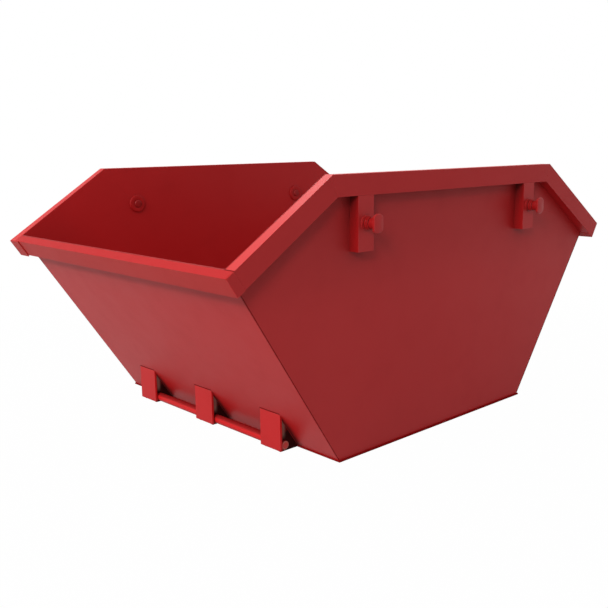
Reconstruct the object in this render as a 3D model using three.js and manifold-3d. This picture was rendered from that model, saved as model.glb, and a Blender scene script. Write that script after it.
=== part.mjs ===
// An open builders skip: a welded steel tub with sloping ends, a folded rim, four lifting
// pins on posts under the rim, and a tipping bar on three brackets at the front.
// Millimetres, +Z up, origin on the ground under the middle of the floor.
// The front, with the tipping bar, faces -X. The near side faces -Y.
import * as THREE from 'three';
import { mergeVertices } from 'three/addons/utils/BufferGeometryUtils.js';
import Module from 'manifold-3d';

const wasm = await Module();
wasm.setup();

// Driving dimensions of the whole tub.
const height = 1220;
const rimLength = 2616; // between the outer top edges of the two end rims
const rimWidth = 1791; // over the outer faces of the two side rims
const levelRimLength = 1560; // the level part of each side rim
const tipDrop = 342; // how far the end rims lie below the level rim
const floorLength = 1346; // outer faces of the end panels, run down to the ground
const sideSplay = 36; // how far a side panel leans out, from the ground to the level rim's top

// Sheet and section sizes.
const panelSheet = 4;
const floorSheet = 8;
const floorLip = 8; // how far the floor plate stands out past the panels
const rimDepth = 43; // outer face of the rim to the outer face of the panel
const sideRimHeight = 88;
const endRimHeight = 90;
const rimSheet = 5;
const railCapSheet = 5;
const railCapWidth = 90; // from the far rim's outer face in over the end rim's face
const railCapHeight = 95;
const rimCapSheet = 6;
const rimCapDrop = 3; // from the end rim's top down to the top of its closing plate

// Lifting posts, pins and their rings, discs and heads.
const postSpacing = 1188; // between the two posts of one side
const postWidth = 92;
const postSheet = 8;
const postBelowPin = 117; // from the middle of a pin down to the foot of its post
const pinDrop = 198; // from the top of the level rim down to the middle of a pin
const pinRadius = 21;
const pinShoulderRadius = 27;
const pinShoulderLength = 8;
const pinStub = 6; // what shows of the pin inside the tub
const pinChamfer = 3;
const collarRadius = 29;
const collarLength = 22;
const collarChamfer = 2;
const neckRadius = 24.5; // the pin outside the post, where a chain's ring hangs
const neckLength = 29; // clear length between the shoulder and the head
const headRadius = 40;
const headHalfWidth = 27; // out to the flats on the head's two sides
const headThickness = 10;
const headChamfer = 1.5;
const padRadius = 46;
const padThickness = 8;
const padChamfer = 1.5;

// Tipping gear at the front.
const bracketSpacing = 501;
const bracketWidth = 136;
const bracketStandoff = 119; // from the end panel's foot out to the bracket plates' face
const bracketSheet = 12;
const bracketClearance = 8; // the bracket plates' height above the ground
const gussetSheet = 12;
const gussetInset = 14; // from the bracket plate's edge to the gusset's outer face
const barRadius = 21;
const barClearance = 6; // the bar's height above the ground
const barSetback = 3; // between the bracket plates and the bar
const barOverhang = 7; // past the outermost gussets
const barChamfer = 2.5;

// Clearances between separate pieces, and the overrun of cutting bodies.
const clearance = 0.3;
const boreClearance = 0.5;
const overrun = 60;

// Facets round the turned pieces.
const roundSides = 40;
const slimSides = 28;

// Points of a side view are [x, z] pairs, and of a front view [y, z] pairs.
const along = (point, direction, distance) => [
  point[0] + direction[0] * distance,
  point[1] + direction[1] * distance,
];

const unit = (from, to) => {
  const length = Math.hypot(to[0] - from[0], to[1] - from[1]);
  return [(to[0] - from[0]) / length, (to[1] - from[1]) / length];
};

// Where the line through a along u crosses the line through b along v.
const meet = (a, u, b, v) => {
  const cross = u[0] * v[1] - u[1] * v[0];
  const distance = ((b[0] - a[0]) * v[1] - (b[1] - a[1]) * v[0]) / cross;
  return along(a, u, distance);
};

// Outline of the front end, seen from the near side.
const tip = [-rimLength / 2, height - tipDrop];
const crest = [-levelRimLength / 2, height];
const slope = unit(tip, crest);
const slopeInward = [slope[1], -slope[0]];
const level = [1, 0];
const panelHead = along(tip, slope, rimDepth);
const panelFoot = [-floorLength / 2, 0];
const down = unit(panelHead, panelFoot);
const intoTub = [-down[1], down[0]];

// A place on the end rim: across its top flange, then down its face.
const onRim = (across, downFace) => along(along(tip, slope, across), down, downFace);

// The end panel's outer face at a height, and pushed out from it by a gap.
const endPanelX = (z) => meet([0, z], level, panelFoot, down)[0];
const endPanelZ = (x, gap) => meet([x, 0], [0, 1], along(panelFoot, intoTub, -gap), down)[1];

// The side panel's outer face leans out with height.
const sideTopY = rimWidth / 2 - rimDepth;
const sideFootY = sideTopY - sideSplay;
const sideLean = (sideTopY - sideFootY) / height;
const sidePanelY = (z) => sideFootY + sideLean * z;
const sideLeanAngle = Math.atan(sideLean);

// A side view is drawn for the front end, and mirrored for the rear end.
const straight = (points) => points;
const mirrored = (points) => points.map(([x, z]) => [-x, z]);

const toSolid = (geometry) => {
  geometry.deleteAttribute('normal');
  geometry.deleteAttribute('uv');
  const merged = mergeVertices(geometry);
  return new wasm.Manifold(new wasm.Mesh({
    numProp: 3,
    vertProperties: new Float32Array(merged.attributes.position.array),
    triVerts: new Uint32Array(merged.index.array),
  }));
};

const toGeometry = (solid) => {
  const mesh = solid.getMesh();
  const geometry = new THREE.BufferGeometry();
  geometry.setAttribute('position', new THREE.BufferAttribute(mesh.vertProperties, 3));
  geometry.setIndex(new THREE.BufferAttribute(mesh.triVerts, 1));
  return geometry;
};

const outline = (points) => new THREE.Shape(points.map(([u, v]) => new THREE.Vector2(u, v)));

// A side-view outline carried across from one y to another.
const acrossPrism = (points, yFrom, yTo) => {
  const geometry = new THREE.ExtrudeGeometry(outline(points), {
    depth: yTo - yFrom,
    bevelEnabled: false,
  });
  geometry.rotateX(Math.PI / 2);
  geometry.translate(0, yTo, 0);
  return toSolid(geometry);
};

// A front-view outline carried along from one x to another.
const lengthPrism = (points, xFrom, xTo) => {
  const geometry = new THREE.ExtrudeGeometry(outline(points), {
    depth: xTo - xFrom,
    bevelEnabled: false,
  });
  geometry.rotateX(Math.PI / 2);
  geometry.rotateZ(Math.PI / 2);
  geometry.translate(xFrom, 0, 0);
  return toSolid(geometry);
};

// A round body on a y axis, from its profile of [radius, y] points.
const turned = (profile, sides) => (
  new THREE.LatheGeometry(profile.map(([radius, y]) => new THREE.Vector2(radius, y)), sides)
);

const acrossBore = (x, z, radius, yFrom, yTo) => {
  const geometry = turned([[0, yFrom], [radius, yFrom], [radius, yTo], [0, yTo]], slimSides);
  geometry.translate(x, 0, z);
  return toSolid(geometry);
};

// The whole space inside the far side panel's outer face, grown by a gap.
const insideFarSide = (gap) => {
  const low = -overrun;
  const high = height + overrun;
  const reach = rimLength / 2 + overrun;
  return lengthPrism([
    [0, low],
    [sidePanelY(low) + gap, low],
    [sidePanelY(high) + gap, high],
    [0, high],
  ], -reach, reach);
};

// The whole space outside the far side panel's outer face, grown by a gap.
const outsideFarSide = (gap) => {
  const low = -overrun;
  const high = height + overrun;
  const reach = rimLength / 2 + overrun;
  const outerY = rimWidth / 2 + overrun;
  return lengthPrism([
    [sidePanelY(low) - gap, low],
    [outerY, low],
    [outerY, high],
    [sidePanelY(high) - gap, high],
  ], -reach, reach);
};

// Paint: one red everywhere, a little darker where grease and chains rub.
const paint = (color, roughness) => new THREE.MeshStandardMaterial({
  color,
  roughness,
  metalness: 0,
});
const bodyRed = '#a52b2b';
const gearRed = '#b93231';
const bodyRoughness = 0.42;
const gearRoughness = 0.5;

const named = (name, geometry, color, roughness) => {
  const mesh = new THREE.Mesh(geometry, paint(color, roughness));
  mesh.name = name;
  return mesh;
};
const bodyPiece = (name, solid) => named(name, toGeometry(solid), bodyRed, bodyRoughness);

// Floor.
const floorPlate = () => {
  const geometry = new THREE.BoxGeometry(
    floorLength + 2 * floorLip,
    2 * (sideFootY + floorLip),
    floorSheet,
  );
  geometry.translate(0, 0, floorSheet / 2);
  return named('floor_plate', geometry, bodyRed, bodyRoughness);
};

// The places of the two posts on one side, and their heights.
const postPlaces = [-postSpacing / 2, postSpacing / 2];
const pinHeight = height - pinDrop;
const postBottom = pinHeight - postBelowPin;

// Side panel of the far side: one leaning sheet, pierced by the lifting pins.
const sidePanel = (name) => {
  const bottom = floorSheet + clearance;
  const frontEdge = [[endPanelX(bottom), bottom], panelHead, crest];
  const sideView = [...frontEdge, ...mirrored(frontEdge).reverse()];
  const low = -overrun;
  const high = height + overrun;
  const frontView = [
    [sidePanelY(low) - panelSheet, low],
    [sidePanelY(low), low],
    [sidePanelY(high), high],
    [sidePanelY(high) - panelSheet, high],
  ];
  const reach = rimLength / 2 + overrun;
  const outerY = sideTopY + overrun;
  let sheet = acrossPrism(sideView, 0, outerY).intersect(lengthPrism(frontView, -reach, reach));
  for (const x of postPlaces) {
    sheet = sheet.subtract(acrossBore(x, pinHeight, pinRadius + boreClearance, 0, outerY));
  }
  return bodyPiece(name, sheet);
};

// End panel: one sloping sheet between the two side panels.
const endPanel = (name, placed) => {
  const bottom = floorSheet + clearance;
  const panelInnerFoot = along(panelFoot, slope, panelSheet);
  const sideView = [
    [endPanelX(bottom), bottom],
    panelHead,
    onRim(rimDepth + panelSheet, 0),
    meet([0, bottom], level, panelInnerFoot, down),
  ];
  const halfAt = (z) => sidePanelY(z) - panelSheet - clearance;
  const high = height + overrun;
  const frontView = [
    [-halfAt(0), 0],
    [halfAt(0), 0],
    [halfAt(high), high],
    [-halfAt(high), high],
  ];
  const reach = rimLength / 2 + overrun;
  const sheet = acrossPrism(placed(sideView), -rimWidth / 2, rimWidth / 2)
    .intersect(lengthPrism(frontView, -reach, reach));
  return bodyPiece(name, sheet);
};

// A folded channel, open towards the far side panel, from its outer and inner side views.
const farChannel = (outer, inner) => {
  const outerY = rimWidth / 2;
  const innerY = sideFootY - overrun;
  return acrossPrism(outer, innerY, outerY)
    .subtract(acrossPrism(inner, innerY - overrun, outerY - rimSheet))
    .subtract(insideFarSide(clearance));
};

const crestAt = (depth) => meet(
  along(crest, slopeInward, depth),
  slope,
  [crest[0], crest[1] - depth],
  level,
);

// Level rim of the far side, mitred at both ends.
const levelRail = (name) => {
  const strip = (from, to, extra) => {
    const front = [
      along(crestAt(from), level, -extra),
      along(crestAt(to), level, -extra),
    ];
    return [...front, ...mirrored(front).reverse()];
  };
  const solid = farChannel(
    strip(0, sideRimHeight, 0),
    strip(rimSheet, sideRimHeight - rimSheet, overrun),
  );
  return bodyPiece(name, solid);
};

// Sloping rim of the far side. Its lower end runs out to the tip, or stops behind the end rim.
const slopeRailView = (from, to, endAcross, extra) => {
  const endPoint = onRim(endAcross - extra, 0);
  const upper = clearance - extra;
  const line = (depth) => along(tip, slopeInward, depth);
  return [
    meet(line(from), slope, endPoint, down),
    along(crestAt(from), slope, -upper),
    along(crestAt(to), slope, -upper),
    meet(line(to), slope, endPoint, down),
  ];
};

const slopeRail = (name, endAcross, placed) => {
  const outer = slopeRailView(0, sideRimHeight, endAcross, 0);
  const inner = slopeRailView(rimSheet, sideRimHeight - rimSheet, endAcross, overrun);
  return bodyPiece(name, farChannel(placed(outer), placed(inner)));
};

// Closing plate on the open lower end of the far sloping rim, lapping over the end rim's face.
const railCap = (name, placed) => {
  const line = (depth) => along(tip, slopeInward, depth);
  const inner = onRim(-clearance, 0);
  const outer = onRim(-clearance - railCapSheet, 0);
  const sideView = [
    meet(line(0), slope, inner, down),
    meet(line(railCapHeight), slope, inner, down),
    meet(line(railCapHeight), slope, outer, down),
    meet(line(0), slope, outer, down),
  ];
  return bodyPiece(name, acrossPrism(placed(sideView), rimWidth / 2 - railCapWidth, rimWidth / 2));
};

// End rim: a folded channel, open towards the end panel. It runs from the near outer face to
// the inner side of the far sloping rim.
const endRim = (name, placed) => {
  const back = rimDepth - clearance;
  const channelView = [
    onRim(0, 0),
    onRim(0, endRimHeight),
    onRim(back, endRimHeight),
    onRim(back, endRimHeight - rimSheet),
    onRim(rimSheet, endRimHeight - rimSheet),
    onRim(rimSheet, rimSheet),
    onRim(back, rimSheet),
    onRim(back, 0),
  ];
  const nearEnd = -(rimWidth / 2 - rimCapSheet - clearance);
  const solid = acrossPrism(placed(channelView), nearEnd, rimWidth / 2)
    .subtract(outsideFarSide(clearance));
  return bodyPiece(name, solid);
};

// Closing plate on the near end of an end rim.
const rimCap = (name, placed) => {
  const sideView = [
    onRim(0, rimCapDrop),
    onRim(0, endRimHeight),
    onRim(rimDepth, endRimHeight),
    onRim(rimDepth, rimCapDrop),
  ];
  const nearFace = -rimWidth / 2;
  return bodyPiece(name, acrossPrism(placed(sideView), nearFace, nearFace + rimCapSheet));
};

// Lifting post: a channel hung under the level rim, open at its foot and towards the panel.
const post = (name, x) => {
  const top = height - sideRimHeight - clearance;
  const outerY = rimWidth / 2;
  const innerY = sideFootY - overrun;
  const box = (half, low, high) => [
    [x - half, low],
    [x + half, low],
    [x + half, high],
    [x - half, high],
  ];
  const solid = acrossPrism(box(postWidth / 2, postBottom, top), innerY, outerY)
    .subtract(acrossPrism(
      box(postWidth / 2 - postSheet, postBottom - overrun, top + overrun),
      innerY - overrun,
      outerY - postSheet,
    ))
    .subtract(insideFarSide(clearance))
    .subtract(acrossBore(x, pinHeight, pinRadius + boreClearance, 0, outerY + overrun));
  return bodyPiece(name, solid);
};

// The pin's places along y, from the stub inside the tub to the head.
const faceY = rimWidth / 2;
const panelInnerY = sidePanelY(pinHeight) - panelSheet;
const pinInnerY = panelInnerY - clearance - padThickness - pinStub;
const collarFromY = faceY + clearance;
const collarToY = collarFromY + collarLength;
const shoulderFromY = collarToY + clearance;
const shoulderToY = shoulderFromY + pinShoulderLength;
const headFromY = shoulderToY + neckLength;

// Lifting pin: a round bar through the post, the panel and the disc inside.
const liftPin = (name, x) => {
  const geometry = turned([
    [0, pinInnerY],
    [pinRadius - pinChamfer, pinInnerY],
    [pinRadius, pinInnerY + pinChamfer],
    [pinRadius, shoulderFromY],
    [pinShoulderRadius, shoulderFromY],
    [pinShoulderRadius, shoulderToY],
    [neckRadius, shoulderToY],
    [neckRadius, headFromY - clearance],
    [0, headFromY - clearance],
  ], roundSides);
  const mesh = named(name, geometry, gearRed, gearRoughness);
  mesh.position.set(x, 0, pinHeight);
  return mesh;
};

// Ring on the post's face round the pin.
const collar = (name, x) => {
  const bore = pinRadius + boreClearance;
  const geometry = turned([
    [bore, collarFromY],
    [collarRadius, collarFromY],
    [collarRadius, collarToY - collarChamfer],
    [collarRadius - collarChamfer, collarToY],
    [bore, collarToY],
    [bore, collarFromY],
  ], roundSides);
  const mesh = named(name, geometry, gearRed, gearRoughness);
  mesh.position.set(x, 0, pinHeight);
  return mesh;
};

// Round head with a flat on each side, that keeps a lifting chain's ring on the pin.
const pinHead = (name, x) => {
  const headToY = headFromY + headThickness;
  const round = turned([
    [0, headFromY],
    [headRadius - headChamfer, headFromY],
    [headRadius, headFromY + headChamfer],
    [headRadius, headToY - headChamfer],
    [headRadius - headChamfer, headToY],
    [0, headToY],
  ], roundSides);
  round.translate(x, 0, pinHeight);
  const betweenFlats = acrossPrism([
    [x - headHalfWidth, pinHeight - overrun],
    [x + headHalfWidth, pinHeight - overrun],
    [x + headHalfWidth, pinHeight + overrun],
    [x - headHalfWidth, pinHeight + overrun],
  ], headFromY - overrun, headToY + overrun);
  const solid = toSolid(round).intersect(betweenFlats);
  return named(name, toGeometry(solid), gearRed, gearRoughness);
};

// Round disc welded inside the tub, lying on the leaning panel.
const backingDisc = (name, x) => {
  const bore = pinRadius + boreClearance;
  const geometry = turned([
    [bore, -padThickness],
    [padRadius - padChamfer, -padThickness],
    [padRadius, -padThickness + padChamfer],
    [padRadius, 0],
    [bore, 0],
    [bore, -padThickness],
  ], roundSides);
  const mesh = named(name, geometry, bodyRed, bodyRoughness);
  mesh.rotation.x = -sideLeanAngle;
  mesh.position.set(x, panelInnerY - clearance, pinHeight);
  return mesh;
};

// Tipping gear: bracket plates stand upright from the sloping panel down to the floor.
const bracketReach = floorLength / 2 + bracketStandoff;
const bracketBack = bracketReach - bracketSheet;
const barX = -bracketBack + barSetback + barRadius;
const barZ = barClearance + barRadius;
const gussetY = bracketWidth / 2 - gussetInset - gussetSheet / 2;

const bracketPlate = (name, y) => {
  const sideView = [
    [-bracketReach, bracketClearance],
    [-bracketBack, bracketClearance],
    [-bracketBack, endPanelZ(-bracketBack, clearance)],
    [-bracketReach, endPanelZ(-bracketReach, clearance)],
  ];
  const solid = acrossPrism(sideView, y - bracketWidth / 2, y + bracketWidth / 2);
  return named(name, toGeometry(solid), gearRed, gearRoughness);
};

// Gusset behind a bracket plate, down to the ground, bored for the bar.
const gusset = (name, y) => {
  const frontX = -bracketBack + clearance;
  const backX = -(floorLength / 2 + floorLip + clearance);
  const sideView = [
    [frontX, 0],
    [backX, 0],
    [backX, endPanelZ(backX, clearance)],
    [frontX, endPanelZ(frontX, clearance)],
  ];
  const yFrom = y - gussetSheet / 2;
  const yTo = y + gussetSheet / 2;
  const bore = acrossBore(barX, barZ, barRadius + boreClearance, yFrom - overrun, yTo + overrun);
  const solid = acrossPrism(sideView, yFrom, yTo).subtract(bore);
  return named(name, toGeometry(solid), gearRed, gearRoughness);
};

const tippingBar = () => {
  const half = bracketSpacing + gussetY + gussetSheet / 2 + barOverhang;
  const geometry = turned([
    [0, -half],
    [barRadius - barChamfer, -half],
    [barRadius, -half + barChamfer],
    [barRadius, half - barChamfer],
    [barRadius - barChamfer, half],
    [0, half],
  ], slimSides);
  const mesh = named('tipping_bar', geometry, gearRed, gearRoughness);
  mesh.position.set(barX, 0, barZ);
  return mesh;
};

// One side, made as the far one. Its sloping rims run out to the tips, or stop behind the end
// rims. Posts and sloping rims are named from the end at -X.
const wholeSide = (side, ends, slopeStart) => {
  const group = new THREE.Group();
  group.add(sidePanel(`side_panel_${side}`));
  group.add(levelRail(`level_rail_${side}`));
  const placings = [straight, mirrored];
  ends.forEach((end, index) => {
    const place = `${side}_${end}`;
    const x = postPlaces[index];
    group.add(slopeRail(`slope_rail_${place}`, slopeStart, placings[index]));
    group.add(post(`lift_post_${place}`, x));
    group.add(liftPin(`lift_pin_${place}`, x));
    group.add(collar(`pin_collar_${place}`, x));
    group.add(pinHead(`pin_head_${place}`, x));
    group.add(backingDisc(`backing_disc_${place}`, x));
  });
  return group;
};

const wholeEnd = (end, placed) => {
  const group = new THREE.Group();
  group.add(endPanel(`end_panel_${end}`, placed));
  group.add(endRim(`end_rim_${end}`, placed));
  group.add(rimCap(`rim_cap_near_${end}`, placed));
  group.add(railCap(`rail_cap_far_${end}`, placed));
  return group;
};

const skip = new THREE.Group();
skip.add(floorPlate());
skip.add(wholeSide('far', ['front', 'rear'], 0));
const nearSide = wholeSide('near', ['rear', 'front'], rimDepth + clearance);
nearSide.rotation.z = Math.PI;
skip.add(nearSide);
skip.add(wholeEnd('front', straight));
skip.add(wholeEnd('rear', mirrored));

const bracketNames = ['near', 'middle', 'far'];
bracketNames.forEach((bracket, index) => {
  const y = (index - 1) * bracketSpacing;
  skip.add(bracketPlate(`bracket_plate_${bracket}`, y));
  skip.add(gusset(`bracket_gusset_${bracket}_a`, y - gussetY));
  skip.add(gusset(`bracket_gusset_${bracket}_b`, y + gussetY));
});
skip.add(tippingBar());

export default skip;
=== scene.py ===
import math
import random

import bmesh
import bpy
from mathutils import Matrix, Vector


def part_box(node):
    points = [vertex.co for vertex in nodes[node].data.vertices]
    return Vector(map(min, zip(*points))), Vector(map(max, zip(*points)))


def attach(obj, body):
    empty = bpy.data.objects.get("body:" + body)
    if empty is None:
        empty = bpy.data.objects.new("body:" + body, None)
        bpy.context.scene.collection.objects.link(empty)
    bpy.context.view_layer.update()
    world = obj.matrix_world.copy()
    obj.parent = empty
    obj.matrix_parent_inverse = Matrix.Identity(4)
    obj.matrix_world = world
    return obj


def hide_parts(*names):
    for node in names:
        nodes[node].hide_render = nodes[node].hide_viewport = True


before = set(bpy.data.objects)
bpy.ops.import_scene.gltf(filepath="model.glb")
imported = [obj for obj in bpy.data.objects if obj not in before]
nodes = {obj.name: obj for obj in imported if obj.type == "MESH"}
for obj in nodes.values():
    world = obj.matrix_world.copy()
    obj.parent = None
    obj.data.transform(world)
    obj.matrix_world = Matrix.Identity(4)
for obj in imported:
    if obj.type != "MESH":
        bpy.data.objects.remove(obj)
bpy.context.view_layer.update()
scene = bpy.context.scene
scene.view_settings.view_transform = "Standard"
print("frame loaded:", len(nodes), "nodes")

# How display values turn into linear ones.
display = {"knee": 0.04045, "slope": 12.92, "offset": 0.055, "power": 2.4}


# A colour picked as 0-255 display values, in the linear values that shaders take.
def linear(red, green, blue):
    def one(value):
        value /= 255
        if value <= display["knee"]:
            return value / display["slope"]
        return ((value + display["offset"]) / (1 + display["offset"])) ** display["power"]

    return (one(red), one(green), one(blue), 1.0)


# A socket of a material, so that shader maths can be written as an expression.
class Wire:
    def __init__(self, paint, socket):
        self.paint = paint
        self.socket = socket

    def __add__(self, other):
        return self.paint.math("ADD", self, other)

    def __sub__(self, other):
        return self.paint.math("SUBTRACT", self, other)

    def __rsub__(self, other):
        return self.paint.math("SUBTRACT", other, self)

    def __mul__(self, other):
        return self.paint.math("MULTIPLY", self, other)

    __radd__ = __add__
    __rmul__ = __mul__

    def absolute(self):
        return self.paint.math("ABSOLUTE", self, 0)

    def clamped(self):
        return self.paint.node("ShaderNodeClamp", {}, {"Value": self})

    # 0 below low, 1 above high, and smooth between.
    def between(self, low, high):
        sockets = {"Value": self, "From Min": low, "From Max": high}
        return self.paint.node("ShaderNodeMapRange", {"interpolation_type": "SMOOTHSTEP"}, sockets)


# Where the masks of Paint rise from 0 to 1, and how finely they look around.
masks = {
    "upward": (0.3, 0.85),
    "sideways": (0.8, 0.95),
    "outward": (-0.3, -0.1),
    "edgeSamples": 6,
    "nookSamples": 8,
}


# The nodes of a material or a world, and the patterns that a finish is made from.
class Paint:
    def __init__(self, owner, ending="ShaderNodeOutputMaterial"):
        owner.use_nodes = True
        self.owner = owner
        self.tree = owner.node_tree
        self.tree.nodes.clear()
        self.output = self.tree.nodes.new(ending)
        self.place = None

    def node(self, kind, settings, sockets, output=0):
        made = self.tree.nodes.new(kind)
        for key, value in settings.items():
            setattr(made, key, value)
        for key, value in sockets.items():
            if isinstance(value, Wire):
                self.tree.links.new(value.socket, made.inputs[key])
            else:
                made.inputs[key].default_value = value
        return Wire(self, made.outputs[output])

    def math(self, operation, first, second):
        return self.node("ShaderNodeMath", {"operation": operation}, {0: first, 1: second})

    def vector(self, operation, first, second, output="Value"):
        sockets = {0: first, 1: second}
        return self.node("ShaderNodeVectorMath", {"operation": operation}, sockets, output)

    def mix(self, amount, first, second):
        sockets = {"Factor": amount, 6: first, 7: second}
        return self.node("ShaderNodeMix", {"data_type": "RGBA"}, sockets, 2)

    def toned(self, color, tone):
        return self.node("ShaderNodeVectorMath", {"operation": "SCALE"}, {0: color, "Scale": tone})

    def coords(self):
        if self.place is None:
            self.place = self.node("ShaderNodeTexCoord", {}, {}, "Object")
        return self.place

    def axis(self, index):
        return self.node("ShaderNodeSeparateXYZ", {}, {0: self.coords()}, index)

    def normal(self):
        return self.node("ShaderNodeNewGeometry", {}, {}, "Normal")

    def facing(self, index):
        return self.node("ShaderNodeSeparateXYZ", {}, {0: self.normal()}, index)

    def noise(self, scale, detail, rough):
        sockets = {"Vector": self.coords(), "Scale": scale, "Detail": detail, "Roughness": rough}
        return self.node("ShaderNodeTexNoise", {}, sockets)

    # 0 on open faces, rising towards 1 where a sharp edge is closer than the radius.
    def edges(self, radius, low, high):
        soft = self.node("ShaderNodeBevel", {"samples": masks["edgeSamples"]}, {"Radius": radius})
        return (1 - self.vector("DOT_PRODUCT", soft, self.normal())).between(low, high)

    # 0 in the open, rising towards 1 deep in corners.
    def nooks(self, reach, low, high):
        samples = {"samples": masks["nookSamples"]}
        clear = self.node("ShaderNodeAmbientOcclusion", samples, {"Distance": reach}, "AO")
        return (1 - clear).between(low, high)

    # 0 on walls and 1 on faces that look up.
    def upward(self):
        return self.facing(2).between(*masks["upward"])

    # 1 on faces that look straight to the near or the far side.
    def sideways(self):
        return self.facing(1).absolute().between(*masks["sideways"])

    # Distance from the line across the skip through x and z.
    def offset(self, x, z):
        flat = self.vector("MULTIPLY", self.coords(), (1, 0, 1), "Vector")
        return self.vector("DISTANCE", flat, (x, 0, z))

    # 1 on faces that look towards the middle of the tub, and 0 on outer faces.
    def inside(self):
        around = self.vector("MULTIPLY", self.coords(), (1, 1, 0), "Vector")
        outward = self.vector("DOT_PRODUCT", self.normal(), around)
        return 1 - outward.between(*masks["outward"])

    def shade(self, sockets):
        shader = self.node("ShaderNodeBsdfPrincipled", {}, sockets)
        self.tree.links.new(shader.socket, self.output.inputs["Surface"])
        return self.owner


# Skip red, with a painted highlight on faces that look up and painted shade in the nooks. A noise
# is given as its scale, detail and roughness, and a range as where a pattern starts and is full.
redPaint = {
    "body": linear(190, 27, 29),
    "faded": linear(198, 37, 38),
    "deep": linear(178, 21, 24),
    # A painted highlight for faces that look up.
    "highlightRed": linear(229, 58, 57),
    # Pale edge red, partly worn paint and partly a painted highlight.
    "edge": linear(222, 70, 66),
    "primer": linear(104, 60, 52),
    # Painted shade for corners, creases and under parts.
    "paintedShade": linear(52, 13, 12),
    # A redder painted shade, for the deep shade beside the posts.
    "redPaintedShade": linear(60, 3, 3),
    # A greyish red for painted sheen, reflections and highlights.
    "paintedSheen": linear(172, 146, 132),
    # Painted shade for the dark lines in the joints.
    "seamShade": linear(124, 8, 9),
    # Paler outer faces, partly chalky paint and partly painted sheen.
    "chalk": linear(176, 62, 62),
    "broad": (1.1, 3, 0.5),
    "broadRange": (0.35, 0.75),
    "cloud": (7.0, 5, 0.6),
    "cloudRange": (0.45, 0.8),
    "cloudDepth": 0.35,
    "speck": (90.0, 3, 0.6),
    "knock": (34.0, 4, 0.65),
    "knockRange": (0.62, 0.7),
    "chipRange": (0.35, 0.8),
    "chipDepth": 0.0002,
    "peel": (260.0, 2, 0.5),
    "peelHeight": 0.00003,
    "wave": (3.2, 2, 0.5),
    "waveHeight": 0.004,
    "edgeRadius": 0.004,
    "edgeRange": (0.02, 0.22),
    "seamRange": (0.03, 0.3),
    "chalkRange": (-1.3, 1.0),
    "wallRange": (0.84, 0.88),
    "shadeLeast": 0.8,
    "shadeClouds": 0.4,
    "cloudRough": 0.08,
    "speckRough": 0.04,
    "wornRough": 0.2,
}

# How one coat differs from another. Painted shade darkens the corners out to nookReach, and only
# above a height, so that the feet of the panels stay lighter. A second painted shade, in tighter
# creases, reaches less far. Chalky paint on outer faces that look sideways, partly painted sheen,
# thins out from the front end towards the rear. Tone scales a part's red, so that some parts are
# drawn lighter and others darker, painted light and shade. Faces that look into the tub can have a
# darker tone of their own, and what lies between the side walls can be darker, both painted shade.
# Two functions can add a mask, one of more painted shade and one of painted sheen.
plainCoat = {
    "fade": 0.3,
    "topHighlight": 0.0,
    "wear": 0.25,
    "chips": 0.5,
    "wave": 0.1,
    "nookReach": 0.05,
    "nookFrom": 0.1,
    "nookTo": 0.9,
    "nookShade": 0.4,
    "seamReach": 0.02,
    "creaseShade": 0.0,
    "unshadedBelow": -1.0,
    "shadedAbove": -0.5,
    "roughness": 0.44,
    "specular": 0.24,
    "tone": 1.0,
    "insideTone": 1.0,
    "topShade": 0.0,
    "chalk": 0.0,
    "innerShade": 0.0,
    "paintedShade": "paintedShade",
    "extra": None,
    "paintedSheen": None,
}


# The coat's red, with a painted highlight on faces that look up, paler sideways faces that are
# partly painted sheen, and a darker painted shade into the tub, before wear and the painted shade
# in the corners.
def bodyColor(paint, coat, cloud):
    look = redPaint
    broad = paint.noise(*look["broad"]).between(*look["broadRange"])
    color = paint.mix(broad * coat["fade"], look["body"], look["faded"])
    color = paint.mix(cloud.between(*look["cloudRange"]) * look["cloudDepth"], color, look["deep"])
    # Painted highlight: faces that look up are drawn paler.
    if coat["topHighlight"]:
        color = paint.mix(paint.upward() * coat["topHighlight"], color, look["highlightRed"])
    # Faces that look into the tub can be drawn darker, a painted shade.
    inside = paint.inside() if coat["insideTone"] != 1 else 0
    # Painted sheen, partly chalky paint: paler outer faces that look sideways, more at the front.
    if coat["chalk"]:
        front = 1 - paint.axis(0).between(*look["chalkRange"])
        outer = front * paint.sideways() * (1 - inside)
        color = paint.mix(outer * coat["chalk"], color, look["chalk"])
    if coat["insideTone"] == 1:
        return paint.toned(color, coat["tone"])
    return paint.toned(color, inside * (coat["insideTone"] - coat["tone"]) + coat["tone"])


# Painted shade in the corners, and where the coat has more of it.
def paintedShadeMask(paint, coat, cloud):
    look = redPaint
    paintedShade = paint.nooks(coat["nookReach"], coat["nookFrom"], coat["nookTo"]) * coat["nookShade"]
    if coat["creaseShade"]:
        paintedShade = paintedShade + paint.nooks(coat["seamReach"], *look["seamRange"]) * coat["creaseShade"]
    paintedShade = paintedShade * paint.axis(2).between(coat["unshadedBelow"], coat["shadedAbove"])
    if coat["extra"]:
        paintedShade = paintedShade + coat["extra"](paint)
    if coat["topShade"]:
        paintedShade = paint.math("MAXIMUM", paintedShade, paint.upward() * coat["topShade"])
    if coat["innerShade"]:
        within = 1 - paint.axis(1).absolute().between(*look["wallRange"])
        paintedShade = paintedShade + within * coat["innerShade"]
    return ((cloud * look["shadeClouds"] + look["shadeLeast"]) * paintedShade).clamped()


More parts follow.
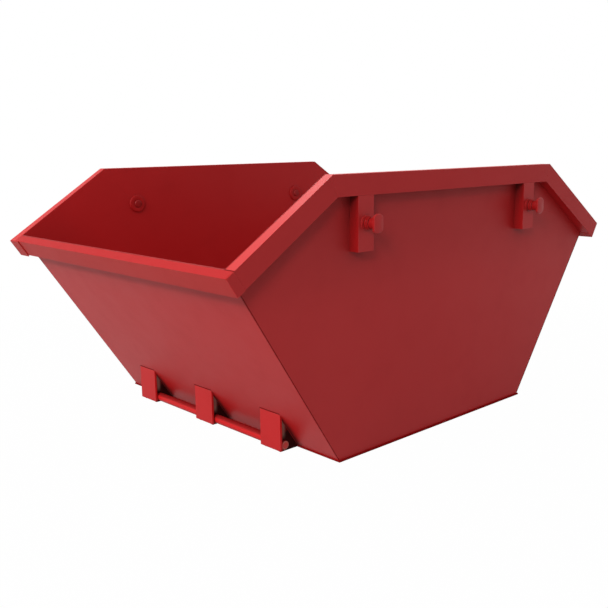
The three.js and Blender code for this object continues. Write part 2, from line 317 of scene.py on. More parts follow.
def steelPaint(name, **changes):
    look = redPaint
    coat = {**plainCoat, **changes}
    paint = Paint(bpy.data.materials.new(name))
    cloud = paint.noise(*look["cloud"])
    color = bodyColor(paint, coat, cloud)
    # Pale edges, partly worn paint and partly a painted highlight.
    rim = paint.edges(look["edgeRadius"], *look["edgeRange"])
    color = paint.mix(rim * coat["wear"], color, look["edge"])
    knock = paint.noise(*look["knock"]).between(*look["knockRange"])
    chip = (rim.between(*look["chipRange"]) * knock * coat["chips"]).clamped()
    color = paint.mix(chip, color, look["primer"])
    # Painted shade in corners and under parts.
    paintedShade = paintedShadeMask(paint, coat, cloud)
    color = paint.mix(paintedShade, color, look[coat["paintedShade"]])
    # Painted sheen, reflections and highlights where the coat asks for them.
    if coat["paintedSheen"]:
        color = paint.mix(coat["paintedSheen"](paint), color, look["paintedSheen"])
    uneven = cloud * look["cloudRough"] + paint.noise(*look["speck"]) * look["speckRough"]
    worn = (paintedShade + chip) * look["wornRough"]
    peel = paint.noise(*look["peel"]) * look["peelHeight"]
    wave = paint.noise(*look["wave"]) * look["waveHeight"] * coat["wave"]
    height = {"Height": peel + wave - chip * look["chipDepth"], "Distance": 1.0, "Strength": 1.0}
    return paint.shade({
        "Base Color": color,
        "Roughness": uneven + worn + (coat["roughness"] - look["cloudRough"] / 2),
        "Specular IOR Level": coat["specular"],
        "Normal": paint.node("ShaderNodeBump", {}, height),
    })


# Painted shadow: a darker band on the outside of an end panel, just below the end rim.
rimShade = {"height": (0.738, 0.772), "paintedShade": 0.22}


def rimPaintedShade(paint):
    return paint.axis(2).between(*rimShade["height"]) * (1 - paint.inside()) * rimShade["paintedShade"]


# Painted shadow on the front panel close beside the gussets, fading out sideways and upwards, with
# the painted shadow below the rim.
bracketShade = {
    "spacing": 0.501,
    "halfWidth": 0.054,
    "spread": 0.08,
    "height": (0.1, 0.19),
    "paintedShade": 0.95,
}


def bracketPaintedShade(paint):
    across = paint.axis(1).absolute()
    outer = (across - bracketShade["spacing"]).absolute()
    beside = paint.math("MINIMUM", across, outer) - bracketShade["halfWidth"]
    close = 1 - beside.between(0, bracketShade["spread"])
    low = 1 - paint.axis(2).between(*bracketShade["height"])
    shade = close * close * low * (1 - paint.inside()) * bracketShade["paintedShade"]
    return shade + rimPaintedShade(paint)


# Painted shade on a gusset: a black patch low in its middle, and thinner painted shade round it.
# Beside the bracket plate, a grey streak is a painted reflection.
gussetShade = {
    "middle": (-0.73, 0.045),
    "patch": (0.03, 0.07),
    "around": (-0.778, -0.745),
    "paintedShade": 0.55,
    "streak": (-0.774, -0.744),
    "streakFrom": (0.05, 0.085),
    "streakTo": (0.145, 0.165),
    "pale": 0.95,
}


def gussetPaintedShade(paint):
    black = 1 - paint.offset(*gussetShade["middle"]).between(*gussetShade["patch"])
    around = paint.axis(0).between(*gussetShade["around"]) * gussetShade["paintedShade"]
    return paint.math("MAXIMUM", black, around)


def gussetPaintedSheen(paint):
    beside = 1 - paint.axis(0).between(*gussetShade["streak"])
    above = paint.axis(2).between(*gussetShade["streakFrom"])
    below = 1 - paint.axis(2).between(*gussetShade["streakTo"])
    return beside * (above * below) * gussetShade["pale"]


# Painted shade on a side panel: a thin darkening high up, and deep painted shade in the corners of
# the posts and the rail, where it widens upwards.
postShade = {
    "x": 0.594,
    "halfWidth": 0.035,
    "height": (0.84, 1.12),
    "widen": 0.035,
    "fade": 0.05,
    "paintedShade": 0.38,
    "highShadeHeight": (0.62, 0.95),
    "highShade": 0.13,
}


def postPaintedShade(paint):
    highShade = paint.axis(2).between(*postShade["highShadeHeight"]) * postShade["highShade"]
    beside = (paint.axis(0).absolute() - postShade["x"]).absolute()
    high = paint.axis(2).between(*postShade["height"])
    far = beside - postShade["halfWidth"] - high * postShade["widen"]
    close = 1 - far.between(-postShade["widen"], postShade["fade"])
    return (close * high * postShade["paintedShade"] + highShade) * (1 - paint.inside())


# Painted sheen: a rim's outer faces are a little paler, but not its top.
rimSheenAmount = 0.065


def rimPaintedSheen(paint):
    return (1 - paint.upward()) * rimSheenAmount


# A painted highlight on the bar's two ends, most of all in a ring at their edge. The depths are
# how far in from an end it starts and is full.
barEnd = {"depth": (0.0022, 0.0008), "ring": (0.011, 0.017), "ringPale": 0.35, "pale": 0.2}
barLow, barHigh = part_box("tipping_bar")
barMiddle = (barLow + barHigh) / 2


def barPaintedHighlight(paint):
    low, high = (barHigh.y - depth for depth in barEnd["depth"])
    out = paint.axis(1).absolute().between(low, high)
    ring = paint.offset(barMiddle.x, barMiddle.z).between(*barEnd["ring"])
    return out * (ring * barEnd["ringPale"] + barEnd["pale"])


# Painted shade: the thin dark lines along the joints of the panels and the rim.
seamShadeLook = {
    "noise": (90.0, 3, 0.5),
    "range": (0.3, 0.8),
    "paintedShade": 0.25,
    "roughness": 0.6,
    "specular": 0.05,
}


def seamShadePaint():
    paint = Paint(bpy.data.materials.new("seamShade"))
    paintedShade = paint.noise(*seamShadeLook["noise"]).between(*seamShadeLook["range"]) * seamShadeLook["paintedShade"]
    return paint.shade({
        "Base Color": paint.mix(paintedShade, redPaint["seamShade"], redPaint["paintedShade"]),
        "Roughness": seamShadeLook["roughness"],
        "Specular IOR Level": seamShadeLook["specular"],
    })


# Coats per part. Tones above 1 draw a part lighter and below 1 darker, painted light and shade.
panelCoat = {
    "fade": 0.4,
    "wear": 0.2,
    "chips": 0.3,
    "wave": 0.5,
    "unshadedBelow": 0.3,
    "shadedAbove": 0.8,
}
sideCoat = {
    "nookReach": 0.35,
    "nookFrom": 0.0,
    "nookTo": 0.2,
    "nookShade": 0.16,
    "insideTone": 0.87,
    "chalk": 0.36,
    "paintedShade": "redPaintedShade",
    "extra": postPaintedShade,
}
endCoat = {"nookReach": 0.1, "nookShade": 0.2, "seamReach": 0.05, "creaseShade": 0.8}
railCoat = {"wave": 0.15, "specular": 0.18, "topHighlight": 0.6, "tone": 0.95, "chalk": 0.36}
rimCoat = {"wave": 0.15, "specular": 0.08, "topHighlight": 0.05, "tone": 0.935, "paintedSheen": rimPaintedSheen}
postCoat = {"fade": 0.2, "nookReach": 0.15, "nookFrom": 0.25, "nookTo": 0.8, "nookShade": 0.95}
pinCoat = {
    "fade": 0.2,
    "wear": 0.35,
    "chips": 0.6,
    "nookShade": 0.7,
    "roughness": 0.38,
    "specular": 0.28,
    "innerShade": 0.3,
}
# The head's pale rim is mostly a painted highlight.
headCoat = {"fade": 0.2, "wear": 1.3, "chips": 0.6, "roughness": 0.4, "specular": 0.3}
discCoat = {"fade": 0.2, "wear": 0.0, "nookShade": 0.5, "specular": 0.2}
plateCoat = {"fade": 0.2, "wear": 0.35, "chips": 0.6, "nookReach": 0.04}
# The bar's high tone is a painted highlight, with painted shade on its top.
barCoat = {"topShade": 0.6, "tone": 1.27, "specular": 0.2, "paintedSheen": barPaintedHighlight}
gussetCoat = {
    "fade": 0.2,
    "nookReach": 0.12,
    "nookShade": 0.5,
    "specular": 0.03,
    "extra": gussetPaintedShade,
    "paintedSheen": gussetPaintedSheen,
}
floorCoat = {"chips": 0.7, "wave": 0.3, "nookReach": 0.02, "specular": 0.0, "tone": 0.55}
weldCoat = {"fade": 0.2, "wear": 0.1, "chips": 0.2, "nookReach": 0.06, "nookShade": 0.9}

sidePaint = steelPaint("side panel red", **sideCoat, **panelCoat)
endPaint = steelPaint("end panel red", extra=bracketPaintedShade, **endCoat, **panelCoat)
rearPaint = steelPaint("rear panel red", extra=rimPaintedShade, **endCoat, **panelCoat)
railPaint = steelPaint("rail red", wear=0.3, **railCoat)
# The cap's pale edges are mostly a painted highlight.
capPaint = steelPaint("cap red", wear=0.9, **railCoat)
rimPaint = steelPaint("rim red", wear=0.3, **rimCoat)
postPaint = steelPaint("post red", tone=0.96, chalk=0.36, **postCoat)
pinPaint = steelPaint("pin red", tone=0.81, **pinCoat)
headPaint = steelPaint("head red", tone=0.87, **headCoat)
discPaint = steelPaint("disc red", tone=0.78, **discCoat)
platePaint = steelPaint("plate red", tone=1.06, specular=0.28, **plateCoat)
barPaint = steelPaint("bar red", **barCoat, **plateCoat)
gussetPaint = steelPaint("gusset red", **gussetCoat)
floorPaint = steelPaint("floor red", **floorCoat)
weldPaint = steelPaint("weld red", **weldCoat)
seamShadeMaterial = seamShadePaint()

finishes = {
    "floor_plate": floorPaint,
    "side_panel": sidePaint,
    "end_panel_front": endPaint,
    "end_panel_rear": rearPaint,
    "level_rail": railPaint,
    "slope_rail": railPaint,
    "rail_cap": rimPaint,
    "end_rim": rimPaint,
    "rim_cap": capPaint,
    "lift_post": postPaint,
    "lift_pin": pinPaint,
    "pin_collar": pinPaint,
    "pin_head": headPaint,
    "backing_disc": discPaint,
    "bracket_plate": platePaint,
    "bracket_gusset": gussetPaint,
    "tipping_bar": barPaint,
}

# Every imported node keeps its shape, and gets softened edges and its paint.
nodeEdges = {"width": 0.001, "segments": 2, "angle": math.radians(30), "join": 0.00001}
for name, node in nodes.items():
    kind = next(start for start in finishes if name.startswith(start))
    node.data.materials.clear()
    node.data.materials.append(finishes[kind])
    join = node.modifiers.new("join", "WELD")
    join.merge_threshold = nodeEdges["join"]
    soften = node.modifiers.new("soften", "BEVEL")
    soften.width = nodeEdges["width"]
    soften.segments = nodeEdges["segments"]
    soften.limit_method = "ANGLE"
    soften.angle_limit = nodeEdges["angle"]
print("nodes painted")

# The skip's main sizes in metres, as its solids have them, and the lines that follow from
# them. The tip is where the rim's slope ends, the crest where it meets the level rail.
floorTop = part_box("floor_plate")[1].z
railLow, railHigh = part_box("level_rail_near")
tub = {
    "height": railHigh.z,
    "tipX": 1.308,
    "tipZ": 0.878,
    "crestX": 0.78,
    "footX": 0.673,
    "footY": 0.8165,
    "splay": 0.036,
    "rimDepth": 0.043,
    "sheet": 0.004,
    "gap": 0.0003,
}
slopeLine = Vector((tub["tipX"] - tub["crestX"], 0, tub["tipZ"] - tub["height"])).normalized()
headX = tub["tipX"] - slopeLine.x * tub["rimDepth"]
headZ = tub["tipZ"] - slopeLine.z * tub["rimDepth"]
endLean = (headX - tub["footX"]) / headZ
sideLean = tub["splay"] / tub["height"]


# Outer faces of the end and side panels at a height.
def endFace(z):
    return tub["footX"] + endLean * z


def sideFace(z):
    return tub["footY"] + sideLean * z


# Height at which the front end panel's outer face reaches an x.
def endHeight(x):
    return (abs(x) - tub["footX"]) / endLean


# How far from the skip's middle a node on one side starts and ends.
def reach(node):
    low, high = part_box(node)
    return sorted((abs(low.y), abs(high.y)))


# Degrees between faces up to which an edge is shaded smooth.
smoothing = {"plain": 40, "weld": 60}


# Makes a named piece of a finished shape, standing for the nodes that it replaces.
def keep(name, shape, paint, replaced=(), smooth=smoothing["plain"]):
    bmesh.ops.recalc_face_normals(shape, faces=shape.faces)
    mesh = bpy.data.meshes.new(name)
    shape.to_mesh(mesh)
    shape.free()
    for face in mesh.polygons:
        face.use_smooth = True
    mesh.set_sharp_from_angle(angle=math.radians(smooth))
    mesh.materials.append(paint)
    piece = bpy.data.objects.new(name, mesh)
    scene.collection.objects.link(piece)
    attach(piece, "root")
    if replaced:
        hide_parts(*replaced)


# How the pins, rings, heads, discs and the tipping bar are turned.
turning = {
    "sides": 72,
    "soften": 0.0009,
    "softenSteps": 3,
    "sharp": math.radians(25),
    "join": 0.00001,
}


# Spins a profile of (radius, along) points round the y axis.
def spun(profile, sides):
    shape = bmesh.new()
    points = [shape.verts.new((radius, along, 0)) for radius, along in profile]
    for first, second in zip(points, points[1:]):
        shape.edges.new((first, second))
    bmesh.ops.spin(
        shape,
        geom=shape.verts[:] + shape.edges[:],
        cent=(0, 0, 0),
        axis=(0, 1, 0),
        angle=math.tau,
        steps=sides,
        use_merge=True,
    )
    bmesh.ops.remove_doubles(shape, verts=shape.verts, dist=turning["join"])
    bmesh.ops.recalc_face_normals(shape, faces=shape.faces)
    return shape


# Rounds off a shape's sharp edges.
def softened(shape, width):
    sharp = [edge for edge in shape.edges if edge.calc_face_angle(0) > turning["sharp"]]
    bmesh.ops.bevel(
        shape,
        geom=sharp,
        offset=width,
        offset_type="OFFSET",
        affect="EDGES",
        segments=turning["softenSteps"],
        profile=0.5,
        material=-1,
    )
    return shape


# Cuts a turned head down to a flat on each side, and closes the cuts.
def flatSided(shape, halfWidth):
    for way in (-1, 1):
        whole = shape.verts[:] + shape.edges[:] + shape.faces[:]
        side = {"plane_co": (way * halfWidth, 0, 0), "plane_no": (way, 0, 0)}
        cut = bmesh.ops.bisect_plane(shape, geom=whole, clear_outer=True, **side)["geom_cut"]
        rim = [part for part in cut if isinstance(part, bmesh.types.BMEdge)]
        bmesh.ops.contextual_create(shape, geom=rim)
    return shape


# A turned piece in a node's place. Its profile runs outwards, and side is -1 for the near
# side of the skip and 1 for the far side.
def turnedPiece(node, side, profile, name, paint=pinPaint, halfWidth=None):
    low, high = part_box(node)
    shape = spun([(radius, side * along) for radius, along in profile], turning["sides"])
    if halfWidth:
        shape = flatSided(shape, halfWidth)
    shape = softened(shape, turning["soften"])
    middle = ((low.x + high.x) / 2, 0, (low.z + high.z) / 2)
    bmesh.ops.translate(shape, verts=shape.verts, vec=middle)
    keep(name, shape, paint, [node])


pin = {
    "radius": 0.021,
    "chamfer": 0.003,
    "shoulder": 0.027,
    "shoulderLength": 0.008,
    "neck": 0.0245,
    "neckGroove": 0.003,
    "weldLeg": 0.002,
    "headWeldLeg": 0.0018,
}


def pinBody(place, side):
    inner, outer = reach("lift_pin_" + place)
    shoulderFrom = reach("pin_collar_" + place)[1] + tub["gap"]
    shoulderTo = shoulderFrom + pin["shoulderLength"]
    groove = pin["neckGroove"]
    profile = [
        (0, inner),
        (pin["radius"] - pin["chamfer"], inner),
        (pin["radius"], inner + pin["chamfer"]),
        (pin["radius"], shoulderFrom),
        (pin["shoulder"], shoulderFrom),
        (pin["shoulder"], shoulderTo),
        (pin["neck"] - groove, shoulderTo),
        (pin["neck"] - groove, shoulderTo + groove),
        (pin["neck"], shoulderTo + groove),
        (pin["neck"], outer),
        (0, outer),
    ]
    turnedPiece("lift_pin_" + place, side, profile, "pin_" + place)


collar = {"bore": 0.0215, "rings": 2, "grooveHalf": 0.0018, "grooveDepth": 0.0045}


def pinCollar(place, side):
    low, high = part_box("pin_collar_" + place)
    start, end = reach("pin_collar_" + place)
    radius = (high.x - low.x) / 2
    deep = radius - collar["grooveDepth"]
    half = collar["grooveHalf"]
    profile = [(collar["bore"], start), (radius, start)]
    for step in range(1, collar["rings"]):
        at = start + step * (end - start) / collar["rings"]
        profile += [(radius, at - half), (deep, at - half), (deep, at + half), (radius, at + half)]
    profile += [(radius, end), (collar["bore"], end), (collar["bore"], start)]
    turnedPiece("pin_collar_" + place, side, profile, "collar_" + place)


head = {"crown": 0.0012, "edge": 0.0035}


def pinHead(place, side):
    low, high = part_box("pin_head_" + place)
    start, end = reach("pin_head_" + place)
    radius = (high.z - low.z) / 2
    edge = head["edge"]
    profile = [
        (0, start),
        (radius - edge / 2, start),
        (radius, start + edge / 2),
        (radius, end - edge - head["crown"]),
        (radius - edge, end - head["crown"]),
        (0, end),
    ]
    halfWidth = (high.x - low.x) / 2
    turnedPiece("pin_head_" + place, side, profile, "head_" + place, headPaint, halfWidth)


bar = {"chamfer": 0.0025}


def tippingBar():
    radius = (barHigh.x - barLow.x) / 2
    chamfer = bar["chamfer"]
    profile = [
        (0, barLow.y),
        (radius - chamfer, barLow.y),
        (radius, barLow.y + chamfer),
        (radius, barHigh.y - chamfer),
        (radius - chamfer, barHigh.y),
        (0, barHigh.y),
    ]
    turnedPiece("tipping_bar", 1, profile, "bar", barPaint)


disc = {
    "thick": 0.008,
    "chamfer": 0.0012,
    "weldInset": 0.0005,
    "weldFace": 0.0042,
    "weldLeg": 0.0016,
}


# Disc on the leaning inner face of a side panel.
def innerDisc(place, side):
    low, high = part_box("backing_disc_" + place)
    radius = (high.x - low.x) / 2
    half = disc["thick"] / 2
    profile = [
        (collar["bore"], -half),
        (radius - disc["chamfer"], -half),
        (radius, disc["chamfer"] - half),
        (radius, half),
        (collar["bore"], half),
        (collar["bore"], -half),
    ]
    shape = spun([(radius, side * along) for radius, along in profile], turning["sides"])
    shape = softened(shape, turning["soften"])
    lean = Matrix.Rotation(-side * math.atan(sideLean), 3, "X")
    bmesh.ops.rotate(shape, verts=shape.verts, cent=(0, 0, 0), matrix=lean)
    bmesh.ops.translate(shape, verts=shape.verts, vec=(low + high) / 2)
    keep("disc_" + place, shape, discPaint, ["backing_disc_" + place])


places = {"near_front": -1, "near_rear": -1, "far_front": 1, "far_rear": 1}
for place, side in places.items():
    pinBody(place, side)
    pinCollar(place, side)
    pinHead(place, side)
    innerDisc(place, side)
tippingBar()
print("turned pieces made")

# A weld's section: its legs lie on the two faces of a corner, and its crown between them has
# two points, each far out along one face and near the other. It starts a little in the metal.
weld = {
    "leg": 0.005,
    "root": 0.0003,
    "far": 0.8,
    "near": 0.36,
    "crown": 0.806,
    "pitch": 0.005,
    "ripple": 0.12,
    "unevenness": 0.6,
    "footLeg": 0.0016,
    "cornerLean": 0.2,
    "ringSides": 64,
    "ringRipple": 0.012,
    "ringWaves": 32,
}
chance = random.Random(7)


# One bead from start to end, in the corner between the directions across and out.
def bead(start, end, across, out, leg):
    run = Vector(end) - Vector(start)
    across = Vector(across).normalized()
    out = Vector(out).normalized()
    root = Vector(start) - (across + out) * weld["root"]
    far = leg * weld["far"] * weld["crown"]
    near = leg * weld["near"] * weld["crown"]
    offsets = [
        Vector((0, 0, 0)),
        across * leg,
        across * far + out * near,
        across * near + out * far,
        out * leg,
    ]
    shape = bmesh.new()
    ring = [shape.verts.new(root + offset) for offset in offsets]
    edges = [shape.edges.new((ring[i], ring[(i + 1) % len(ring)])) for i in range(len(ring))]
    shape.faces.new(ring)
    steps = max(2, round(run.length / weld["pitch"]))
    size = 1.0
    middle = root.copy()
    for step in range(steps):
        grown = bmesh.ops.extrude_edge_only(shape, edges=edges)["geom"]
        verts = [part for part in grown if isinstance(part, bmesh.types.BMVert)]
        edges = [part for part in grown if isinstance(part, bmesh.types.BMEdge)]
        bmesh.ops.translate(shape, verts=verts, vec=run / steps)
        middle += run / steps
        wanted = 1 - weld["ripple"] * (step % 2 + chance.random() * weld["unevenness"])
        factor = wanted / size
        space = Matrix.Translation(-middle)
        bmesh.ops.scale(shape, verts=verts, vec=(factor, factor, factor), space=space)
        size = wanted
    bmesh.ops.contextual_create(shape, geom=edges)
    return shape


# A ring bead round the y axis, in the corner at the given radius and face. Outward is 1 or
# -1, the way along the axis that it stands out. Its surface ripples round the ring.
def ringBead(center, radius, face, outward, leg, lean=0.0):
    far = leg * weld["far"] * weld["crown"]
    near = leg * weld["near"] * weld["crown"]
    profile = [
        (radius - weld["root"], face),
        (radius + leg, face),
        (radius + far, face + outward * near),
        (radius + near, face + outward * far),
        (radius, face + outward * leg),
        (radius - weld["root"], face),
    ]
    shape = spun(profile, weld["ringSides"])
    for vert in shape.verts:
        turn = math.atan2(vert.co.z, vert.co.x)
        swing = 1 + weld["ringRipple"] * math.cos(turn * weld["ringWaves"])
        vert.co.x *= swing
        vert.co.z *= swing
    if lean:
        turned = Matrix.Rotation(lean, 3, "X")
        bmesh.ops.rotate(shape, verts=shape.verts, cent=(0, 0, 0), matrix=turned)
    bmesh.ops.translate(shape, verts=shape.verts, vec=center)
    return shape


# Puts separate shapes into one.
def joined(shapes):
    whole = bmesh.new()
    for shape in shapes:
        bmesh.ops.recalc_face_normals(shape, faces=shape.faces)
        part = bpy.data.meshes.new("part")
        shape.to_mesh(part)
        shape.free()
        whole.from_mesh(part)
        bpy.data.meshes.remove(part)
    return whole


# Ring beads round a pin, where its collar meets the post and its neck meets the head.
def pinWelds(place, side):
    low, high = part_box("pin_collar_" + place)
    center = Vector(((low.x + high.x) / 2, 0, (low.z + high.z) / 2))
    face = reach("pin_collar_" + place)[0] - tub["gap"]
    headFace = reach("pin_head_" + place)[0]
    radius = (high.x - low.x) / 2
    runs = [
        ringBead(center, radius, side * face, side, pin["weldLeg"]),
        ringBead(center, pin["neck"], side * headFace, -side, pin["headWeldLeg"]),
    ]
    keep("pin_welds_" + place, joined(runs), weldPaint, smooth=smoothing["weld"])


# A ring bead where a disc meets the panel's inner face.
def discWelds(place, side):
    low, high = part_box("backing_disc_" + place)
    center = (low + high) / 2
    radius = (high.x - low.x) / 2 - disc["weldInset"]
    lean = -side * math.atan(sideLean)
    shape = ringBead(center, radius, side * disc["weldFace"], -side, disc["weldLeg"], lean)
    keep("disc_weld_" + place, joined([shape]), discPaint, smooth=smoothing["weld"])


brackets = ("near", "middle", "far")
bracketWeld = {"leg": 0.004, "from": 0.06, "topGap": 0.002, "footLean": 0.3}


# Beads on the outer faces of a bracket's two gussets, along the plate and the end panel.
def bracketWelds(name):
    leg = bracketWeld["leg"]
    runs = []
    for key, way in (("a", -1), ("b", 1)):
        low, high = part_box(f"bracket_gusset_{name}_{key}")
        y = low.y if way < 0 else high.y
        start = (low.x, y, bracketWeld["from"])
        end = (low.x, y, endHeight(low.x) - bracketWeld["topGap"])
        runs.append(bead(start, end, (1, 0, 0), (0, way, 0), leg))
        foot = (high.x, y, endHeight(high.x))
        top = (low.x, y, endHeight(low.x))
        runs.append(bead(foot, top, (0, way, 0), (bracketWeld["footLean"], 0, -1), leg))
    keep("bracket_welds_" + name, joined(runs), weldPaint, smooth=smoothing["weld"])


# Beads on the floor plate's lip, round the feet of the panels.
def footWelds():
    z = floorTop
    endX = endFace(z)
    sideY = sideFace(z)
    leg = weld["footLeg"]
    runs = []
    for way in (-1, 1):
        x = way * endX
        y = way * sideY
        runs.append(bead((x, -sideY, z), (x, sideY, z), (way, 0, 0), (way * endLean, 0, 1), leg))
        runs.append(bead((-endX, y, z), (endX, y, z), (0, way, 0), (0, 0, 1), leg))
    keep("foot_welds", joined(runs), floorPaint, smooth=smoothing["weld"])


# Beads inside the tub, up its corners and round its floor.
def innerWelds():
    z = floorTop
    wall = tub["sheet"]
    top = headZ - wall
    drop = wall * math.hypot(1, endLean)
    leg = weld["leg"]
    runs = []
    for way in (-1, 1):
        for side in (-1, 1):
            start = (way * (endFace(z) - drop), side * (sideFace(z) - wall), z)
            end = (way * (endFace(top) - drop), side * (sideFace(top) - wall), top)
            runs.append(bead(start, end, (0, -side, 0), (-way, 0, weld["cornerLean"]), leg))
        x = way * (endFace(z) - drop)
        start, end = (x, -sideFace(z), z), (x, sideFace(z), z)
        runs.append(bead(start, end, (-way, 0, 0), (way * endLean, 0, 1), leg))
        y = way * (sideFace(z) - wall)
        start, end = (-endFace(z), y, z), (endFace(z), y, z)
        runs.append(bead(start, end, (0, -way, 0), (0, 0, 1), leg))
    keep("inner_welds", joined(runs), weldPaint, smooth=smoothing["weld"])


# A thin strip from start to end: across is its width's direction, out its thickness's.
def strip(start, end, across, out, width, thickness):
    start, end = Vector(start), Vector(end)
    across = Vector(across).normalized() * width
    thick = Vector(out).normalized() * thickness
    place = Matrix((end - start, across, thick)).transposed().to_4x4()
    place.translation = (start + end + across) / 2
    shape = bmesh.new()
    bmesh.ops.create_cube(shape, size=1, matrix=place)
    return shape


fill = {"depth": 0.003, "width": 0.006, "gap": 0.0002, "soften": 0.0008}


# Weld metal ground flush, filling the ledges on top of the end rims' closing plates.
def capWelds():
    runs = []
    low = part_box("rim_cap_near_front")[0].y
    for way in (-1, 1):
        along = Vector((way * slopeLine.x, 0, slopeLine.z))
        out = Vector((-way * slopeLine.z, 0, slopeLine.x))
        down = out * (fill["depth"] / 2 + fill["gap"])
        start = Vector((way * tub["tipX"], low, tub["tipZ"])) - down - along * fill["gap"]
        end = Vector((way * headX, low, headZ)) - down + along * fill["gap"]
        metal = strip(start, end, (0, 1, 0), out, fill["width"], fill["depth"])
        runs.append(softened(metal, fill["soften"]))
    keep("cap_welds", joined(runs), rimPaint)


seamShade = {"thickness": 0.0012, "corner": 0.0038, "joint": 0.003, "bracket": 0.008}


# Painted shade: dark lines down the tub's corners.
def cornerSeamShades():
    low = floorTop
    runs = []
    for way in (-1, 1):
        for side in (-1, 1):
            start = (way * endFace(low), side * sideFace(low), low)
            end = (way * endFace(headZ), side * sideFace(headZ), headZ)
            across, out = (-way, 0, 0), (0, side, 0)
            runs.append(strip(start, end, across, out, seamShade["corner"], seamShade["thickness"]))
    keep("corner_seam_shades", joined(runs), seamShadeMaterial)


# Painted shade: dark lines across the rim, where the near rails meet the end rims.
def rimSeamShades():
    inner = -sideFace(headZ) + tub["sheet"]
    runs = []
    for way in (-1, 1):
        start, end = (way * headX, railLow.y, headZ), (way * headX, inner, headZ)
        across = (-way * slopeLine.x, 0, -slopeLine.z)
        out = (-way * slopeLine.z, 0, slopeLine.x)
        runs.append(strip(start, end, across, out, seamShade["joint"], seamShade["thickness"]))
    keep("rim_seam_shades", joined(runs), seamShadeMaterial)


# Painted shade: dark lines on the end panel along the tops of the bracket plates.
def bracketSeamShades():
    runs = []
    for name in brackets:
        low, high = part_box("bracket_plate_" + name)
        x = -endFace(high.z)
        start, end = (x, low.y, high.z), (x, high.y, high.z)
        across, out = (-endLean, 0, 1), (-1, 0, -endLean)
        runs.append(strip(start, end, across, out, seamShade["bracket"], seamShade["thickness"]))
    keep("bracket_seam_shades", joined(runs), seamShadeMaterial)


for place, side in places.items():
    pinWelds(place, side)
    discWelds(place, side)
for name in brackets:
    bracketWelds(name)
footWelds()
innerWelds()
capWelds()
cornerSeamShades()
rimSeamShades()
bracketSeamShades()
print("welds made")

# The floor turns white away from the skip. What the camera sees of it is nearly white close by
# too, so that only a trace of the skip's shadow shows. What the paint reflects is less white.
room = {
    "floorColor": (0.53, 0.53, 0.53, 1),
    "floorHalf": 40.0,
    "floorDrop": 0.0005,
    "floorWhite": 0.99,
    "floorGlossyWhite": 0.6,
    "whiteRange": (1.8, 4.5),
    "white": (1, 1, 1, 1),
    "ambient": 0.35,
}


# 1 for camera, glossy and transmission rays, and 0 for the rays that light things.
def seenDirectly(paint):
    camera = paint.node("ShaderNodeLightPath", {}, {}, "Is Camera Ray")
    glossy = paint.node("ShaderNodeLightPath", {}, {}, "Is Glossy Ray")
    through = paint.node("ShaderNodeLightPath", {}, {}, "Is Transmission Ray")
    return (camera + glossy + through).clamped()


def makeFloor():
    mesh = bpy.data.meshes.new("studio floor")
    shape = bmesh.new()
    bmesh.ops.create_grid(shape, x_segments=1, y_segments=1, size=room["floorHalf"])
    bmesh.ops.translate(shape, verts=shape.verts, vec=(0, 0, -room["floorDrop"]))
    shape.to_mesh(mesh)
    shape.free()
    floor = bpy.data.objects.new("studio_floor", mesh)
    scene.collection.objects.link(floor)
    paint = Paint(bpy.data.materials.new("studio floor"))
    plain = paint.node("ShaderNodeBsdfDiffuse", {}, {"Color": room["floorColor"]})
    white = paint.node("ShaderNodeEmission", {}, {"Color": room["white"], "Strength": 1.0})
    length = {"operation": "LENGTH"}
    away = paint.node("ShaderNodeVectorMath", length, {0: paint.coords()}, "Value")
    far = away.between(*room["whiteRange"])
    camera = paint.node("ShaderNodeLightPath", {}, {}, "Is Camera Ray")
    near = camera * (room["floorWhite"] - room["floorGlossyWhite"]) + room["floorGlossyWhite"]
    amount = seenDirectly(paint) * (far * (1 - near) + near)
    mixed = paint.node("ShaderNodeMixShader", {}, {0: amount, 1: plain, 2: white})
    paint.tree.links.new(mixed.socket, paint.output.inputs["Surface"])
    mesh.materials.append(paint.owner)


def makeWorld():
    scene.world = bpy.data.worlds.new("studio")
    paint = Paint(scene.world, "ShaderNodeOutputWorld")
    dimly = {"Color": room["white"], "Strength": room["ambient"]}
    dim = paint.node("ShaderNodeBackground", {}, dimly)
    white = paint.node("ShaderNodeBackground", {}, {"Color": room["white"], "Strength": 1.0})
    mixed = paint.node("ShaderNodeMixShader", {}, {0: seenDirectly(paint), 1: dim, 2: white})
    paint.tree.links.new(mixed.socket, paint.output.inputs["Surface"])


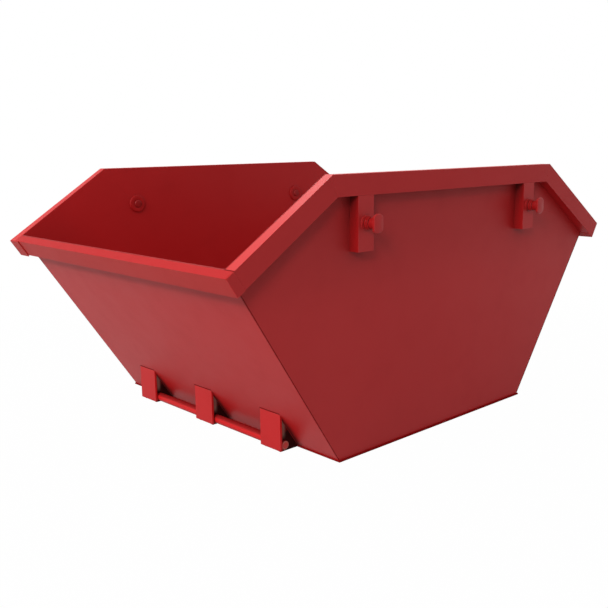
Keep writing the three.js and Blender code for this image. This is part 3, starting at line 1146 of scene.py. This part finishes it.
# Soft lamps: where each stands, where it points, its size and its power.
lamps = {
    "key": {"at": (2.2, 4.2, 5.6), "to": (0, 0, 0.7), "size": 2.8, "power": 145},
    "front": {"at": (-5.7, -0.1, 4.3), "to": (-0.7, 0, 0.4), "size": 3.6, "power": 200},
    "side": {"at": (-7.5, -5.2, 5.0), "to": (-0.3, -0.8, 0.7), "size": 2.2, "power": 245},
}


def makeLamps():
    for name, lamp in lamps.items():
        data = bpy.data.lights.new(name, "AREA")
        data.shape = "DISK"
        data.size = lamp["size"]
        data.energy = lamp["power"]
        body = bpy.data.objects.new(name, data)
        body.location = lamp["at"]
        aim = Vector(lamp["to"]) - Vector(lamp["at"])
        body.rotation_euler = aim.to_track_quat("-Z", "Y").to_euler()
        body.visible_camera = False
        scene.collection.objects.link(body)


# The photograph's own viewpoint, solved from the skip's edges. Its focal length is in pixels
# of a square frame.
view = {
    "at": (-2.99824, -3.13106, 1.33843),
    "azimuth": math.radians(-42.63),
    "pitch": math.radians(11.18),
    "roll": math.radians(-0.76),
    "focalPixels": 811.9,
    "framePixels": 608,
    "sensor": 36.0,
    "clipEnd": 200,
}


def makeCamera():
    data = bpy.data.cameras.new("photo view")
    data.sensor_width = view["sensor"]
    data.lens = view["focalPixels"] / view["framePixels"] * view["sensor"]
    data.clip_end = view["clipEnd"]
    body = bpy.data.objects.new("photo view", data)
    scene.collection.objects.link(body)
    turn = view["azimuth"]
    tilt = view["pitch"]
    back = Vector((
        math.sin(turn) * math.cos(tilt),
        -math.cos(turn) * math.cos(tilt),
        math.sin(tilt),
    ))
    right = (-back).cross(Vector((0, 0, 1))).normalized()
    up = back.cross(right)
    roll = view["roll"]
    rolledRight = right * math.cos(roll) + up * math.sin(roll)
    rolledUp = up * math.cos(roll) - right * math.sin(roll)
    place = Matrix((rolledRight, rolledUp, back)).transposed().to_4x4()
    place.translation = Vector(view["at"])
    body.matrix_world = place
    scene.camera = body


makeFloor()
makeWorld()
makeLamps()
makeCamera()
print("room, lamps and camera set")
